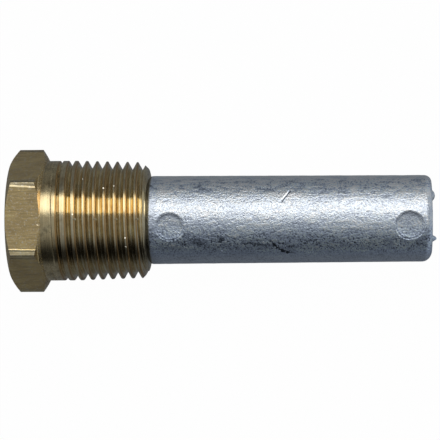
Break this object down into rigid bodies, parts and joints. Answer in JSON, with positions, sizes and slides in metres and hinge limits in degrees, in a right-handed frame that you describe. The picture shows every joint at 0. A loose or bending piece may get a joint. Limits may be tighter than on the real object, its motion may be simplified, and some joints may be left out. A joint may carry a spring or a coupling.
{
  "type": "sacrificial anode",
  "caption": "Pencil anode for a marine heat exchanger: a cast zinc rod screwed into a hexagon-headed brass plug with a tapered pipe thread.",
  "frame": {"origin": "centre of the hexagon head's underside, where the neck of the threaded shank starts", "axes": "+X along the shank towards the zinc tip; +Z out of the upper flat of the hexagon, so one flat faces down; +Y through a corner of the hexagon"},
  "size_m": [0.0754, 0.0256, 0.0222],
  "materials": {
    "plug_brass": "turned free-cutting brass, dulled by handling, with brushed bar flats",
    "cast_zinc": "cast zinc, blue-grey and finely mottled, with ejector marks and a few dark stains"
  },
  "bodies": {
    "root": {"brass_plug": "plug_brass", "zinc_pencil": "cast_zinc"}
  },
  "joints": []
}
